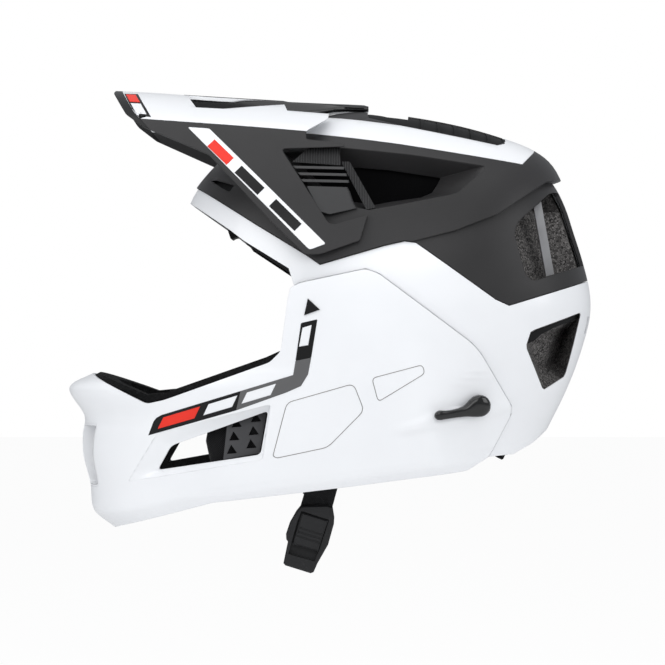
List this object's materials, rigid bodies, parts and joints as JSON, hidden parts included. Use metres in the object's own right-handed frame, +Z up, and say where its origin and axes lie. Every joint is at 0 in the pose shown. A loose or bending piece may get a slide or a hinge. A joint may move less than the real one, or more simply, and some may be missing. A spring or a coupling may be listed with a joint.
{
  "type": "full face bicycle helmet",
  "caption": "Full face helmet for downhill riding, with a tilting vented visor, a removable chin guard held by side levers, comfort pads, a dial fit cradle and a chin strap.",
  "frame": {"origin": "middle of the wearer's head, level with the ears' tops, in the middle plane", "axes": "-Y is the way the wearer faces, +X the wearer's left, +Z up"},
  "size_m": [0.2178, 0.3483, 0.3181],
  "materials": {
    "shell_white": "satin white lacquer over moulded shell",
    "shell_black": "matte charcoal shell",
    "foam_grey": "speckled bead foam",
    "foam_black": "black bead foam",
    "pad_fabric": "knitted wicking fabric over foam",
    "webbing": "woven webbing",
    "black_plastic": "moulded, fine texture",
    "gloss_black": "gloss black",
    "grey_plastic": "moulded grey",
    "steel": "plain steel"
  },
  "bodies": {
    "helmet": {"upper_shell": "shell_black", "lower_shell": "shell_white", "foam_crown": "foam_grey", "foam_rear": "foam_grey", "foam_left": "foam_grey", "foam_right": "foam_grey", "lever_sockets": "steel", "ear_pad_left": "pad_fabric", "ear_pad_right": "pad_fabric", "crown_pad": "pad_fabric", "brow_pad": "pad_fabric", "neck_roll": "pad_fabric", "strap_left": "webbing", "strap_right": "webbing", "strap_anchors": "black_plastic", "buckle_frame": "black_plastic", "visor_pivots": "steel", "rear_struts": "grey_plastic"},
    "visor": {"visor_shell": "shell_black", "visor_edge": "gloss_black", "visor_louvres": "black_plastic", "visor_spine": "gloss_black"},
    "chin_guard": {"chin_shell": "shell_white", "chin_liner": "foam_black", "mouth_grille": "black_plastic", "lever_washers": "black_plastic", "cheek_pad_left": "pad_fabric", "cheek_pad_right": "pad_fabric", "cheek_panels": "grey_plastic", "arm_plugs": "gloss_black"},
    "lever_l": {"lever_left": "gloss_black", "lever_pin_left": "steel"},
    "lever_r": {"lever_right": "gloss_black", "lever_pin_right": "steel"},
    "cradle": {"fit_cradle": "black_plastic", "fit_case": "black_plastic"},
    "dial": {"fit_dial": "grey_plastic"},
    "rack_l": {"rack_left": "grey_plastic"},
    "rack_r": {"rack_right": "grey_plastic"},
    "buckle_catch": {"buckle_slide": "black_plastic", "buckle_magnet": "steel"}
  },
  "joints": [
    {"name": "visor_tilt", "type": "hinge", "parent": "helmet", "child": "visor", "pos_m": [0, -0.027, 0.0466], "axis": [-1, 0, 0], "range_deg": [0, 14]},
    {"name": "chin_draw", "type": "slide", "parent": "helmet", "child": "chin_guard", "axis": [0, -0.5, -0.866], "range_m": [0, 0.3]},
    {"name": "lever_left_turn", "type": "hinge", "parent": "chin_guard", "child": "lever_l", "pos_m": [0.09461, 0.05638, -0.06674], "axis": [-0.8915, -0.4279, 0.1488], "range_deg": [0, 75]},
    {"name": "lever_right_turn", "type": "hinge", "parent": "chin_guard", "child": "lever_r", "pos_m": [-0.09461, 0.05638, -0.06674], "axis": [-0.8915, 0.4279, -0.1488], "range_deg": [0, 75]},
    {"name": "cradle_height", "type": "slide", "parent": "helmet", "child": "cradle", "axis": [0, 0, 1], "range_m": [-0.005, 0.005]},
    {"name": "dial_turn", "type": "hinge", "parent": "cradle", "child": "dial", "pos_m": [0, 0.0775, -0.08], "axis": [0, 1, 0], "range_deg": [0, 68.75]},
    {"name": "rack_left_pull", "type": "slide", "parent": "cradle", "child": "rack_l", "axis": [-1, 0, 0], "range_m": [0, 0.006]},
    {"name": "rack_right_pull", "type": "slide", "parent": "cradle", "child": "rack_r", "axis": [1, 0, 0], "range_m": [0, 0.006]},
    {"name": "buckle_push", "type": "slide", "parent": "helmet", "child": "buckle_catch", "axis": [0, -0.3746, -0.9272], "range_m": [0, 0.006]}
  ],
  "couplings": [
    {"joint": "rack_left_pull", "follows": "dial_turn", "m_per_rad": 0.005},
    {"joint": "rack_right_pull", "follows": "dial_turn", "m_per_rad": 0.005}
  ]
}
